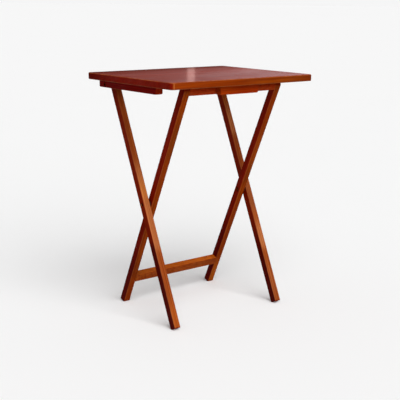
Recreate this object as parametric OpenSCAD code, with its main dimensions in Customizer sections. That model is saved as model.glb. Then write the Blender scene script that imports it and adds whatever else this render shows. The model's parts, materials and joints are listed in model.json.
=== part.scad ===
// Folding wooden tray table: a solid top on two crossed pairs of legs.
// Millimetres. X is the width, Y the depth (front at -Y), Z up.
// The origin is on the floor under the centre of the top.

/* [Tabletop] */
// Height of the top surface above the floor
table_h = 660; // [600:1:720]
// Width of the top
top_w = 483; // [440:1:560]
// Depth of the top
top_d = 385; // [360:1:430]
// Thickness of the top
top_t = 18; // [15:0.5:24]
// Radius of the four upright corners of the top
top_corner_r = 10; // [6:0.5:20]
// Radius of the eased edges of the top
top_edge_r = 2.5; // [1:0.5:4]

/* [Legs] */
// Width of a leg, seen from the front
leg_w = 19.5; // [17:0.5:24]
// Depth of a leg, square to its length, seen from the side
leg_t = 21; // [17:0.5:24]
// Radius of the eased long edges of a leg
leg_edge_r = 2; // [1:0.5:3]
// Radius of the round corners of a foot, seen from the side
foot_r = 4.5; // [3:0.5:7]
// Lean of each leg from the upright
leg_lean = 24; // [20:0.5:27]
// Height of the crossing bolts above the floor
cross_h = 316; // [290:1:330]
// Outer face of an outer leg to the side edge of the top
leg_inset = 49.5; // [46:0.5:60]
// Gap between an outer leg and the inner leg beside it
leg_gap = 6; // [4:0.5:9]
// Hanger pivot to the back edge of the top
pivot_inset = 48; // [40:1:60]
// Gap between the round leg ends and the underside of the top
end_gap = 2.25; // [2:0.25:5]

/* [Cleats] */
// Thickness of a cleat, across the table
cleat_w = 21.5; // [18:0.5:26]
// Height of a cleat
cleat_h = 21; // [19:0.5:28]
// Length of a cleat in front of the hanger pivot
cleat_front = 237; // [180:1:260]
// Length of a cleat behind the hanger pivot
cleat_back = 26; // [20:1:32]
// Radius of the lower corners at the ends of a cleat
cleat_corner_r = 5; // [3:0.5:8]
// Radius of the eased long edges of the cleats and of the block
cleat_edge_r = 2; // [1:0.5:3]
// Gap between a cleat and the outer leg beside it
cleat_gap = 2.4; // [1.6:0.1:4]

/* [Catch block] */
// Width of the catch block
block_w = 128; // [90:1:180]
// Depth of the catch block
block_d = 20; // [14:0.5:24]
// Height of the catch block
block_h = 24; // [20:0.5:27]
// Radius of the lower corners of the catch block
block_corner_r = 3; // [2:0.5:6]

/* [Rails] */
// Straight height of the top rail under its round upper edge
rail_skirt = 9.7; // [8:0.1:14]
// Height of the lower stretcher
stretcher_h = 24.5; // [20:0.5:30]
// Depth of the lower stretcher
stretcher_t = 19; // [16:0.5:21]
// Foot end of an inner leg to the lower edge of the stretcher, along the leg
stretcher_up = 71.5; // [60:1:120]
// Radius of the eased long edges of the rail and of the stretcher
rail_edge_r = 1.5; // [1:0.5:3]
// Diameter of the joint dowels
dowel_d = 6; // [5:0.5:8]
// Length of a joint dowel
dowel_l = 32; // [28:1:40]
// Depth of a dowel hole in a leg
dowel_leg_depth = 12; // [9:0.5:13]
// Spacing of the two dowels of a joint
dowel_pitch = 9.4; // [8.6:0.2:10]

/* [Pivot bolts] */
// Diameter of the bolt shanks
bolt_d = 6; // [5:0.5:8]
// Diameter of the bolt heads
head_d = 10.5; // [9.5:0.5:12]
// Height of the domed bolt heads
head_h = 3; // [2:0.25:4]
// Width across the flats of the hex socket in a head
socket_w = 4; // [3:0.5:5]
// Depth of the hex socket in a head
socket_depth = 1.6; // [1:0.2:2]
// Depth of the counterbores for the bolt heads
head_recess = 3.8; // [3:0.2:5]
// Gap around a bolt head in its counterbore
head_margin = 0.65; // [0.4:0.05:1]
// Width across the flats of the nuts
nut_w = 10; // [9.5:0.5:11]
// Height of the nuts
nut_h = 4.6; // [3.5:0.1:5.5]
// Diameter of the counterbores for the nuts
nut_recess_d = 13.6; // [13:0.2:15]
// Depth of the counterbores for the nuts
nut_recess = 6.6; // [6:0.2:8]
// Diameter of the washers under the nuts
washer_d = 12.4; // [12:0.2:12.8]
// Thickness of the washers under the nuts
washer_t = 1.2; // [0.8:0.1:1.6]
// Diameter of the spacers between the moving wooden parts
spacer_d = 16; // [14:0.5:17]
// Length of thread that stands out of a nut
bolt_tail = 0.6; // [0.2:0.1:0.8]

/* [Wood screws] */
// Diameter of the screw shanks
screw_d = 4; // [3.5:0.5:4.5]
// Diameter of the countersunk screw heads
screw_head_d = 8; // [7:0.5:9]
// Height of the countersunk screw heads
screw_head_h = 2.6; // [2:0.2:3]
// Depth to which the screws reach into the top
screw_bite = 11; // [8:0.5:12.5]
// Number of screws in a cleat
cleat_screw_count = 3; // [2:1:5]
// Distance from a cleat's end to its first screw
cleat_screw_end = 55; // [40:1:70]
// Spacing of the two screws in the catch block
block_screw_pitch = 80; // [50:1:84]

/* [Clearances] */
// Radial play of a pivot bolt in its bores
bolt_play = 0.08; // [0.04:0.01:0.1]
// Play along the axis at a pivot, at each running face
run_gap = 0.2; // [0.15:0.05:0.3]
// Gap between the top rail and the underside of the top, at rest
rest_gap = 0.4; // [0.4:0.05:0.6]
// Gap between the top rail and the catch block, at rest
stop_gap = 0.3; // [0.2:0.05:0.5]
// Glue space at each end of a dowel
glue_gap = 0.5; // [0.2:0.1:1]
// Radial play of the dowels, screws and threads in their holes
hole_play = 0.05; // [0.02:0.01:0.1]

/* [Hidden] */
$fn = 64;

cherry = [0.45, 0.17, 0.07];
cherry_dark = [0.36, 0.12, 0.06];
beech = [0.72, 0.55, 0.36];
zinc = [0.70, 0.69, 0.66];
bronze = [0.30, 0.20, 0.15];
nylon = [0.20, 0.12, 0.09];

left = -1;
right = 1;
sides = [left, right];
under = table_h - top_t;                 // height of the underside of the top
end_r = leg_t / 2;                       // radius of the round leg ends
pivot_drop = end_r + end_gap;            // hanger pivot below the underside
pivot_z = under - pivot_drop;
pivot_y = top_d / 2 - pivot_inset;
pivot_reach = (pivot_z - cross_h) / cos(leg_lean);     // crossing to hanger, along an outer leg
cross_y = pivot_y - pivot_reach * sin(leg_lean);
foot_drop = foot_r + (end_r - foot_r) * sin(leg_lean);  // lowest point of a foot below its corner's centre
foot_reach = (cross_h - foot_drop) / cos(leg_lean) + foot_r;      // crossing to foot, along a leg
rail_reach = (under - rest_gap - end_r - cross_h) / cos(leg_lean);  // crossing to the rail's centre

outer_face = top_w / 2 - leg_inset;      // outer face of an outer leg, from the middle
inner_face = outer_face - leg_w - leg_gap;             // outer face of an inner leg
rail_len = 2 * (inner_face - leg_w);
cleat_face = outer_face + cleat_gap;     // inner face of a cleat

rail_y = cross_y - rail_reach * sin(leg_lean);         // centre of the rail's round edge
block_back = rail_y - end_r - stop_gap;  // the face that the rail stops against
stretcher_mid = stretcher_up - foot_reach + stretcher_h / 2;
stretcher_y = stretcher_t / 2 - end_r;   // keeps the stretcher flush with the leg fronts
rail_dowel_mid = rail_reach - rail_skirt / 2 + end_r / 2;
dowel_hole_d = dowel_d + 2 * hole_play;
dowel_rail_depth = dowel_l + 2 * glue_gap - dowel_leg_depth;

bore_d = bolt_d + 2 * bolt_play;
head_recess_d = head_d + 2 * head_margin;
spacer_bore_d = bolt_d + 2 * hole_play;
cross_stack = 2 * leg_w + leg_gap - head_recess - nut_recess;   // wood and gap under the head
hanger_stack = cleat_w + cleat_gap + leg_w - head_recess - nut_recess;
cross_nut_seat = inner_face - leg_w + nut_recess - run_gap;
hanger_nut_seat = outer_face - leg_w + nut_recess - run_gap;
screw_hole_d = screw_d + 2 * hole_play;
screw_point_h = screw_d * 0.8;           // length of a screw's point
dome_share = 0.6;                        // share of a bolt head's height that is domed

// A rectangle about the origin with round corners
module round_rect(w, h, r) {
    square([w - 2 * r, h], center = true);
    square([w, h - 2 * r], center = true);
    for (x = [-1, 1], y = [-1, 1]) translate([x * (w / 2 - r), y * (h / 2 - r)]) circle(r);
}

// An outline drawn in Y and Z, extruded along X about the YZ plane
module along_x(length) {
    rotate([90, 0, 90]) translate([0, 0, -length / 2]) linear_extrude(length) children();
}

// A cylinder along X from x0 to x1
module rod_x(d, x0, x1) {
    translate([min(x0, x1), 0, 0]) rotate([0, 90, 0]) cylinder(d = d, h = abs(x1 - x0));
}

// Frames of the crossed legs: the crossing is at their origin, and Z runs up the leg
module on_outer_legs() {
    translate([0, cross_y, cross_h]) rotate([-leg_lean, 0, 0]) children();
}
module on_inner_legs() {
    translate([0, cross_y, cross_h]) rotate([leg_lean, 0, 0]) children();
}
// The frame of the hanger pivots, upright like the top
module on_hanger() {
    translate([0, pivot_y, pivot_z]) children();
}

// Side view of a leg, from its square foot to the round end about the point at reach
module leg_outline(reach) {
    circle(end_r);
    translate([-end_r, -reach - foot_reach + foot_r]) square([leg_t, reach + foot_reach - foot_r]);
    translate([foot_r - end_r, -reach - foot_reach]) square([leg_t - 2 * foot_r, foot_r]);
    for (y = [-1, 1]) translate([y * (end_r - foot_r), -reach - foot_reach + foot_r]) circle(foot_r);
}

// A leg without its holes, centred across X, with its round end at reach up Z
module leg_blank(reach) {
    intersection() {
        translate([0, 0, reach]) along_x(leg_w) leg_outline(reach);
        translate([0, 0, -foot_reach]) linear_extrude(foot_reach + reach + end_r)
            round_rect(leg_w, leg_t, leg_edge_r);
    }
}

// The eased edge of the top: its outer margin in section, from the inset line outwards
module top_edge_section() {
    intersection() {
        union() {
            translate([0, top_edge_r]) square([top_edge_r, top_t - 2 * top_edge_r]);
            for (z = [top_edge_r, top_t - top_edge_r]) translate([0, z]) circle(top_edge_r);
        }
        square([top_edge_r, top_t]);
    }
}

module tabletop() {
    flat_w = top_w - 2 * top_corner_r;
    flat_d = top_d - 2 * top_corner_r;
    color(cherry) difference() {
        translate([0, 0, under]) union() {
            linear_extrude(top_t)
                round_rect(top_w - 2 * top_edge_r, top_d - 2 * top_edge_r, top_corner_r - top_edge_r);
            for (side = sides) {
                scale([side, 1, 1]) translate([top_w / 2 - top_edge_r, flat_d / 2, 0])
                    rotate([90, 0, 0]) linear_extrude(flat_d) top_edge_section();
                scale([1, side, 1]) translate([-flat_w / 2, top_d / 2 - top_edge_r, 0])
                    rotate([90, 0, 90]) linear_extrude(flat_w) top_edge_section();
            }
            for (a = [0 : 3]) {
                cx = (a == 0 || a == 3) ? flat_w / 2 : -flat_w / 2;
                cy = (a < 2) ? flat_d / 2 : -flat_d / 2;
                translate([cx, cy, 0]) rotate([0, 0, 90 * a]) rotate_extrude(angle = 90)
                    translate([top_corner_r - top_edge_r, 0]) top_edge_section();
            }
        }
        for (side = sides) at_cleat_screws(side) cylinder(d = screw_hole_d, h = 2 * screw_bite, center = true);
        at_block_screws() cylinder(d = screw_hole_d, h = 2 * screw_bite, center = true);
    }
}

// Places of the screws, on the underside of the top
module at_cleat_screws(side) {
    first = pivot_y - cleat_front + cleat_screw_end;
    run = cleat_front + cleat_back - 2 * cleat_screw_end;
    for (i = [0 : cleat_screw_count - 1])
        translate([side * (cleat_face + cleat_w / 2), first + i * run / (cleat_screw_count - 1), under])
            children();
}
module at_block_screws() {
    for (side = sides) translate([side * block_screw_pitch / 2, block_back - block_d / 2, under]) children();
}

// A screw whose head is let into a batten of height h under the top
module wood_screw(h) {
    translate([0, 0, -h]) {
        cylinder(d1 = screw_head_d, d2 = screw_d, h = screw_head_h);
        cylinder(d = screw_d, h = h + screw_bite - screw_d);
    }
    translate([0, 0, screw_bite - screw_d]) cylinder(d1 = screw_d, d2 = screw_d / 4, h = screw_point_h);
}
module wood_screw_hole(h) {
    translate([0, 0, -h - 1]) {
        cylinder(d = screw_hole_d, h = h + 2);
        cylinder(d = screw_head_d + 2 * hole_play, h = 1);
        translate([0, 0, 1]) cylinder(d1 = screw_head_d + 2 * hole_play, d2 = screw_hole_d, h = screw_head_h);
    }
}

// Side view of a batten of length l and height h under the top, round at its lower corners
module batten_outline(l, h, r) {
    translate([-l / 2, r]) square([l, h - r]);
    translate([r - l / 2, 0]) square([l - 2 * r, r]);
    for (y = [-1, 1]) translate([y * (l / 2 - r), r]) circle(r);
}

module cleat(side) {
    length = cleat_front + cleat_back;
    mid_y = pivot_y + (cleat_back - cleat_front) / 2;
    color(cherry_dark) difference() {
        translate([side * (cleat_face + cleat_w / 2), mid_y, under - cleat_h]) intersection() {
            along_x(cleat_w) batten_outline(length, cleat_h, cleat_corner_r);
            rotate([90, 0, 0]) translate([0, 0, -length / 2]) linear_extrude(length)
                batten_outline(cleat_w, cleat_h, cleat_edge_r);
        }
        on_hanger() {
            rod_x(bore_d, side * (cleat_face - 1), side * (cleat_face + cleat_w));
            rod_x(head_recess_d, side * (cleat_face + cleat_w - head_recess), side * (cleat_face + cleat_w + 1));
        }
        at_cleat_screws(side) wood_screw_hole(cleat_h);
    }
}
module cleat_left() { cleat(left); }
module cleat_right() { cleat(right); }

module catch_block() {
    color(cherry_dark) difference() {
        translate([0, block_back - block_d / 2, under - block_h]) intersection() {
            rotate([90, 0, 0]) translate([0, 0, -block_d / 2]) linear_extrude(block_d)
                batten_outline(block_w, block_h, block_corner_r);
            along_x(block_w) batten_outline(block_d, block_h, cleat_edge_r);
        }
        at_block_screws() wood_screw_hole(block_h);
    }
}

module cleat_screws() {
    color(zinc) for (side = sides) at_cleat_screws(side) wood_screw(cleat_h);
}
module catch_block_screws() {
    color(zinc) at_block_screws() wood_screw(block_h);
}

module outer_leg(side) {
    inside = outer_face - leg_w;
    color(cherry) on_outer_legs() difference() {
        translate([side * (outer_face - leg_w / 2), 0, 0]) leg_blank(pivot_reach);
        rod_x(bore_d, side * (inside - 1), side * (outer_face + 1));
        rod_x(head_recess_d, side * (outer_face - head_recess), side * (outer_face + 1));
        translate([0, 0, pivot_reach]) {
            rod_x(bore_d, side * (inside - 1), side * (outer_face + 1));
            rod_x(nut_recess_d, side * (inside - 1), side * (inside + nut_recess));
        }
    }
}
module outer_leg_left() { outer_leg(left); }
module outer_leg_right() { outer_leg(right); }

module inner_leg(side) {
    inside = inner_face - leg_w;
    color(cherry) on_inner_legs() difference() {
        translate([side * (inner_face - leg_w / 2), 0, 0]) leg_blank(rail_reach);
        rod_x(bore_d, side * (inside - 1), side * (inner_face + 1));
        rod_x(nut_recess_d, side * (inside - 1), side * (inside + nut_recess));
        at_dowels(rail_dowel_mid, 0) rod_x(dowel_hole_d, side * (inside - 1), side * (inside + dowel_leg_depth));
        at_dowels(stretcher_mid, stretcher_y)
            rod_x(dowel_hole_d, side * (inside - 1), side * (inside + dowel_leg_depth));
    }
}
module inner_leg_left() { inner_leg(left); }
module inner_leg_right() { inner_leg(right); }

// Axes of the two dowels of a joint, along the leg
module at_dowels(mid, y) {
    for (k = [-1, 1]) translate([0, y, mid + k * dowel_pitch / 2]) children();
}
module dowel_holes(mid, y) {
    for (side = sides) at_dowels(mid, y)
        rod_x(dowel_hole_d, side * (rail_len / 2 - dowel_rail_depth), side * (rail_len / 2 + 1));
}
module dowels(mid, y) {
    start = rail_len / 2 + dowel_leg_depth - glue_gap;
    color(beech) on_inner_legs() for (side = sides) at_dowels(mid, y)
        rod_x(dowel_d, side * start, side * (start - dowel_l));
}
module top_rail_dowels() { dowels(rail_dowel_mid, 0); }
module stretcher_dowels() { dowels(stretcher_mid, stretcher_y); }

module top_rail() {
    color(cherry) on_inner_legs() difference() {
        translate([0, 0, rail_reach]) along_x(rail_len) {
            circle(end_r);
            translate([-end_r, rail_edge_r - rail_skirt]) square([leg_t, rail_skirt - rail_edge_r]);
            translate([rail_edge_r - end_r, -rail_skirt]) square([leg_t - 2 * rail_edge_r, rail_edge_r]);
            for (y = [-1, 1]) translate([y * (end_r - rail_edge_r), rail_edge_r - rail_skirt]) circle(rail_edge_r);
        }
        dowel_holes(rail_dowel_mid, 0);
    }
}

module lower_stretcher() {
    color(cherry) on_inner_legs() difference() {
        translate([0, stretcher_y, stretcher_mid]) along_x(rail_len)
            round_rect(stretcher_t, stretcher_h, rail_edge_r);
        dowel_holes(stretcher_mid, stretcher_y);
    }
}

// A bolt along X with its domed head outwards; stack is the length that it holds together
module pivot_bolt(side, seat, stack) {
    tail = stack + washer_t + nut_h + bolt_tail;
    dome_h = head_h * dome_share;
    dome_r = (pow(head_d / 2, 2) + pow(dome_h, 2)) / (2 * dome_h);
    translate([side * seat, 0, 0]) rotate([0, side * 90, 0]) difference() {
        union() {
            translate([0, 0, -tail]) cylinder(d = bolt_d, h = tail + head_h / 4);
            rotate_extrude() intersection() {
                translate([0, head_h - dome_r]) circle(dome_r, $fn = 128);
                square([head_d / 2, head_h]);
            }
        }
        translate([0, 0, head_h - socket_depth])
            cylinder(d = socket_w / cos(30), h = socket_depth + 1, $fn = 6);
    }
}
module hex_nut(side, face) {
    translate([side * face, 0, 0]) rotate([0, side * -90, 0]) difference() {
        cylinder(d = nut_w / cos(30), h = nut_h, $fn = 6);
        translate([0, 0, -1]) cylinder(d = spacer_bore_d, h = nut_h + 2);
    }
}
module ring_x(side, outer_d, x0, x1) {
    difference() {
        rod_x(outer_d, side * x0, side * x1);
        rod_x(spacer_bore_d, side * (x0 - 1), side * (x1 + 1));
    }
}

// At the crossing the bolts and nuts turn with the outer legs
module crossing_bolts() {
    color(bronze) on_outer_legs() for (side = sides)
        pivot_bolt(side, outer_face - head_recess, cross_stack + run_gap);
}
module crossing_spacers() {
    color(nylon) on_outer_legs() for (side = sides)
        ring_x(side, spacer_d, inner_face + run_gap, outer_face - leg_w);
}
module crossing_washers() {
    color(bronze) on_outer_legs() for (side = sides)
        ring_x(side, washer_d, cross_nut_seat - washer_t, cross_nut_seat);
}
module crossing_nuts() {
    color(bronze) on_outer_legs() for (side = sides) hex_nut(side, cross_nut_seat - washer_t);
}

// At the hangers the bolts turn in the cleats and in the outer legs
module hanger_bolts() {
    color(bronze) on_hanger() for (side = sides)
        pivot_bolt(side, cleat_face + cleat_w - head_recess + run_gap, hanger_stack + 2 * run_gap);
}
module hanger_spacers() {
    color(nylon) on_hanger() for (side = sides)
        ring_x(side, spacer_d, outer_face + run_gap, cleat_face - run_gap);
}
module hanger_washers() {
    color(bronze) on_hanger() for (side = sides)
        ring_x(side, washer_d, hanger_nut_seat - washer_t, hanger_nut_seat);
}
module hanger_nuts() {
    color(bronze) on_hanger() for (side = sides) hex_nut(side, hanger_nut_seat - washer_t);
}

tabletop();
cleat_left();
cleat_right();
catch_block();
cleat_screws();
catch_block_screws();
outer_leg_left();
outer_leg_right();
inner_leg_left();
inner_leg_right();
top_rail();
lower_stretcher();
top_rail_dowels();
stretcher_dowels();
crossing_bolts();
crossing_spacers();
crossing_washers();
crossing_nuts();
hanger_bolts();
hanger_spacers();
hanger_washers();
hanger_nuts();
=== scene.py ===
"""A folding wooden tray table: reddish stained cherry on steel pivot bolts, on a pale floor.

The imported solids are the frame. They get their finishes here, and the small turned fittings
(screws, bolts, nuts, washers, spacers and dowels) are modelled again with threads, recesses and flutes.
"""

import json
import math

import bpy
from bpy.props import FloatProperty, FloatVectorProperty, IntProperty, PointerProperty
from mathutils import Euler, Matrix, Vector


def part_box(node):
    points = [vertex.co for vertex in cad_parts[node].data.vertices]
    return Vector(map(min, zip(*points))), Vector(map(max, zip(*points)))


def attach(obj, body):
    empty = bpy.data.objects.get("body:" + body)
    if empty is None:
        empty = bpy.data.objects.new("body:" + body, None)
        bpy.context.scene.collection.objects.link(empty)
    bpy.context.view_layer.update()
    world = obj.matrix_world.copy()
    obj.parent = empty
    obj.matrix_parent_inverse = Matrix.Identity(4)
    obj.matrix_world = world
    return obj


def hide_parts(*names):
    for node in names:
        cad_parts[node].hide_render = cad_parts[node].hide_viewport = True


bl_info = {
    "name": "Folding Tray Table",
    "version": (1, 0, 0),
    "blender": (4, 5, 0),
    "location": "View3D > Sidebar > Tray Table",
    "description": "Finishes, fittings and stage of a folding wooden tray table",
    "category": "Object",
}

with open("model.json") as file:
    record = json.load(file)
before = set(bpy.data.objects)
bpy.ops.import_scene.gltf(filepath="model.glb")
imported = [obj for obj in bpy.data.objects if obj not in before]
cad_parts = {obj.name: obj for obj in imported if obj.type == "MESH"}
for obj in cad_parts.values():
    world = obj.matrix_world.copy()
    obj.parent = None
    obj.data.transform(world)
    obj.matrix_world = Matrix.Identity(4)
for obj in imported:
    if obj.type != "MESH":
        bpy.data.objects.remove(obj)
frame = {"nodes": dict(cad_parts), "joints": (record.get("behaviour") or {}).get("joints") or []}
NODES = frame["nodes"]
SIDES = (-1, 1)
QUARTER = math.radians(90)
LEG_LEAN = math.radians(24)

# Turns that lay a board's own Z, its grain, along an axis of the table
ALONG_X = (0, QUARTER, 0)
ALONG_Y = (-QUARTER, 0, 0)


# Places and sizes read from the frame

def box_of(points):
    """The lowest and the highest corner of the box round some points."""
    low = Vector(min(p[i] for p in points) for i in range(3))
    high = Vector(max(p[i] for p in points) for i in range(3))
    return low, high


def right_half(node):
    """The box of that part of a mirrored CAD node that lies on the +X side."""
    return box_of([v.co for v in NODES[node].data.vertices if v.co.x > 0])


def board_of(node, turn):
    """The centre of a board, and half of its size in its own turned frame."""
    own = Euler(turn).to_matrix()
    low, high = box_of([v.co @ own for v in NODES[node].data.vertices])
    return own @ ((low + high) / 2), (high - low) / 2


def pivot_of(joint_name):
    """Where a joint's axis passes the middle plane of the table."""
    return Vector(next(j["pos_m"] for j in frame["joints"] if j["name"] == joint_name))


# Each pair of pivots: its name, its place, and the body that its bolts, nuts and rings ride on
PIVOTS = (
    {"name": "crossing", "place": pivot_of("leg_fold"), "body": "outer_legs"},
    {"name": "hanger", "place": pivot_of("leg_swing"), "body": "hangers"})


# Settings that a user would change

def tone(name, description, default):
    """A colour, in linear light."""
    return FloatVectorProperty(name=name, description=description, subtype="COLOR",
                               size=3, min=0.0, max=1.0, default=default)


def length(name, description, default):
    """A length, in metres."""
    return FloatProperty(name=name, description=description, subtype="DISTANCE",
                         unit="LENGTH", min=0.0, default=default, precision=5)


def angle(name, description, degrees):
    """An angle of up to half a turn."""
    return FloatProperty(name=name, description=description, subtype="ANGLE",
                         min=0.0, max=math.pi, default=math.radians(degrees))


def strength(name, description, default, most=1.0):
    """A share or a strength, from 0 to the most that it may be."""
    return FloatProperty(name=name, description=description, min=0.0, max=most, default=default)


class TrayTableFinish(bpy.types.PropertyGroup):
    """Stains, lacquer and metal colours, some of them holding painted light and shade."""
    top_tone: tone("Top", "Stain of the top's upper face", (0.228, 0.022, 0.009))
    top_front_tone: tone("Top front edge", "Stain of the top's long-grain edges", (0.213, 0.027, 0.000))
    # End grain takes the stain darker, and this tone is darker still as painted shade on the top's ends.
    top_end_grain_and_shade_tone: tone("Top end edge", "Stain of the top's end-grain edges", (0.150, 0.004, 0.000))
    outer_face_tone: tone("Outer leg face", "Stain of the outer legs, front and back", (0.272, 0.054, 0.009))
    # Painted shade: the outer legs' sides are drawn darker and redder than their fronts.
    outer_side_shade_tone: tone("Outer leg side", "Stain of the outer legs' sides", (0.196, 0.010, 0.000))
    inner_face_tone: tone("Inner leg face", "Stain of the inner legs, front and back", (0.232, 0.031, 0.001))
    # Painted shade: the inner legs' sides are drawn darker and redder than their fronts.
    inner_side_shade_tone: tone("Inner leg side", "Stain of the inner legs' sides", (0.200, 0.007, 0.000))
    # Painted light: the rail is drawn much lighter than the stretcher of the same wood, where the top shades
    # it.
    rail_lit_tone: tone("Rail", "Stain of the top rail", (0.420, 0.033, 0.001))
    stretcher_face_tone: tone("Stretcher face", "Stain of the stretcher, front and back",
                              (0.222, 0.028, 0.001))
    # Painted light: the stretcher's upper face is drawn lighter than its front and back.
    stretcher_top_lit_tone: tone("Stretcher top", "Stain of the stretcher's upper face", (0.318, 0.058, 0.001))
    # Painted shade: the cleats' sides are drawn darker and redder than their ends.
    cleat_side_shade_tone: tone("Cleat side", "Stain of the cleats' long sides", (0.240, 0.003, 0.001))
    # Painted light: the cleats' ends are drawn lighter and more orange than their sides.
    cleat_end_lit_tone: tone("Cleat end", "Stain of the cleats' ends", (0.400, 0.024, 0.001))
    # Painted light: the catch block under the top is drawn lighter than the legs and the stretcher.
    block_lit_tone: tone("Block", "Stain of the catch block", (0.362, 0.030, 0.000))
    # This worn colour also draws the painted highlights along rounded edges and at the top's front corners.
    worn_and_highlight_tone: tone("Worn edge", "Wood where the stain is rubbed thin", (0.560, 0.190, 0.055))
    beech_tone: tone("Beech", "Raw beech of the dowels", (0.520, 0.310, 0.150))
    # Painted shade: this bronze is drawn far darker and redder than bronzed steel, as the fittings look
    # shaded in their recesses.
    bronze_and_shade_tone: tone("Bronze", "Browned steel of the bolts, nuts and washers", (0.075, 0.011, 0.003))
    zinc_tone: tone("Yellow zinc", "Plating of the wood screws", (0.560, 0.430, 0.210))
    nylon_tone: tone("Nylon", "Dark nylon of the spacers", (0.040, 0.005, 0.002))
    stave_width: length("Stave width", "Width of the boards that the top is glued up from", 0.055)
    ring_spacing: length("Ring spacing", "Distance between growth rings", 0.0042)


class TrayTableFittings(bpy.types.PropertyGroup):
    """Sizes of the turned fittings that the frame leaves plain."""
    thread_pitch: length("Bolt thread pitch", "Pitch of the bolt threads", 0.001)
    thread_depth: length("Bolt thread depth", "Depth of the bolt threads", 0.0004)
    threaded_length: length("Threaded length", "Length of thread at the end of a bolt", 0.014)
    bolt_shank: length("Bolt shank", "Diameter of the bolt shanks", 0.006)
    head_rise: length("Bolt head height", "Height of the domed bolt heads", 0.003)
    socket_width: length("Socket width", "Width across the flats of a bolt's socket", 0.004)
    socket_depth: length("Socket depth", "Depth of a bolt's socket", 0.0016)
    nut_flats: length("Nut width", "Width across the flats of the nuts", 0.010)
    nut_bore: length("Nut bore", "Diameter of the bores of nuts, washers and spacers", 0.0061)
    washer_ease: length("Washer edge", "Bevel round the edges of a washer", 0.00015)
    spacer_ease: length("Spacer edge", "Bevel round the edges of a spacer", 0.0004)
    screw_shank: length("Screw shank", "Diameter of the wood screws over their threads", 0.004)
    screw_pitch: length("Screw pitch", "Pitch of the wood screw threads", 0.0018)
    screw_thread_depth: length("Screw thread depth", "Depth of the wood screw threads", 0.0006)
    screw_head: length("Screw head height", "Height of the countersunk heads", 0.0026)
    recess_width: length("Recess width", "Width of the cross recess in a screw head", 0.0044)
    recess_blade: length("Recess blade", "Thickness of one arm of the cross recess", 0.0010)
    recess_depth: length("Recess depth", "Depth of the cross recess in a screw head", 0.0018)
    dowel_flutes: IntProperty(name="Dowel flutes", description="Number of glue flutes round a dowel",
                              min=8, max=32, default=20)
    flute_depth: length("Flute depth", "Depth of the glue flutes of a dowel", 0.0002)
    dowel_chamfer: length("Dowel chamfer", "Chamfer at the ends of a dowel", 0.0008)


class TrayTableStage(bpy.types.PropertyGroup):
    """Floor, lamps, world and camera."""
    floor_tone: tone("Floor", "Colour of the pale floor", (0.935, 0.935, 0.935))
    floor_bounce: strength("Floor bounce", "Share of the floor colour that lights the table", 0.5)
    floor_size: length("Floor size", "Side of the square floor", 380.0)
    world_light: strength("World light", "Strength of the even light from all round", 0.35, 2.0)
    backdrop_light: strength("Backdrop", "Brightness of the background, where 1 is white", 0.92)
    key_strength: strength("Key light", "Strength of the high soft light in front", 2.8, 10.0)
    key_spread: angle("Key spread", "Angle that the key light fills", 60)
    fill_strength: strength("Fill light", "Strength of the low soft light in front", 0.5, 10.0)
    fill_spread: angle("Fill spread", "Angle that the fill light fills", 40)
    strip_power: strength("Strip light", "Power of the narrow strip mirrored in the top", 0.36, 200.0)
    strip_tone: tone("Strip colour", "Colour of the strip light", (1.0, 0.62, 0.56))
    panel_power: strength("Panel light", "Power of the wide panel mirrored in the top", 55.0, 500.0)
    panel_tone: tone("Panel colour", "Colour of the panel light", (1.0, 0.92, 0.97))
    panel_slant: angle("Panel slant", "How far the panel leans down to the right", 23)
    camera_place: FloatVectorProperty(name="Camera place", description="Where the camera stands", size=3,
                                      subtype="TRANSLATION", unit="LENGTH", default=(-1.519, -1.901, 0.854))
    camera_turn: FloatVectorProperty(name="Camera turn", description="How the camera is turned", size=3,
                                     subtype="EULER",
                                     default=tuple(math.radians(a) for a in (77.276, -0.533, -38.583)))
    camera_lens: FloatProperty(name="Lens", description="Focal length on a 36 mm sensor, in millimetres",
                               min=10.0, max=300.0, default=79.5)


# Small tools for shader nodes

def feed(tree, node, inputs):
    """Links the named inputs of a node to other nodes' outputs, or sets their values."""
    for socket, value in inputs.items():
        if isinstance(value, bpy.types.NodeSocket):
            tree.links.new(value, node.inputs[socket])
        else:
            node.inputs[socket].default_value = value


def add_node(tree, kind, inputs=None, **settings):
    """A new node with its settings and inputs."""
    made = tree.nodes.new(kind)
    for name, value in settings.items():
        setattr(made, name, value)
    feed(tree, made, inputs or {})
    return made


def maths(tree, operation, *values):
    """The output of a Math node."""
    return add_node(tree, "ShaderNodeMath", dict(enumerate(values)), operation=operation).outputs[0]


def times(tree, first, second):
    """The product of two plain values."""
    return maths(tree, "MULTIPLY", first, second)


def vectors(tree, operation, *values):
    """The vector output of a Vector Math node."""
    return add_node(tree, "ShaderNodeVectorMath", dict(enumerate(values)), operation=operation).outputs[0]


def axes_of(tree, vector):
    """The X, Y and Z of a vector."""
    return add_node(tree, "ShaderNodeSeparateXYZ", {0: vector}).outputs


def ramp_of(tree, value, low, high, to_low=0.0, to_high=1.0):
    """A value eased from one range to another."""
    return add_node(tree, "ShaderNodeMapRange",
                    {"Value": value, "From Min": low, "From Max": high, "To Min": to_low, "To Max": to_high},
                    interpolation_type="SMOOTHSTEP").outputs["Result"]


def blend_of(tree, factor, first, second):
    """A colour between two colours."""
    return add_node(tree, "ShaderNodeMix", {0: factor, 6: first, 7: second}, data_type="RGBA").outputs[2]


def scaled(tree, colour, factor):
    """A colour times a plain value."""
    return add_node(tree, "ShaderNodeVectorMath", {"Vector": colour, "Scale": factor},
                    operation="SCALE").outputs[0]


def tinted(tree, factor, colour, tint):
    """A colour, times a tint where the factor is 1."""
    return blend_of(tree, factor, colour, vectors(tree, "MULTIPLY", colour, tint))


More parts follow.
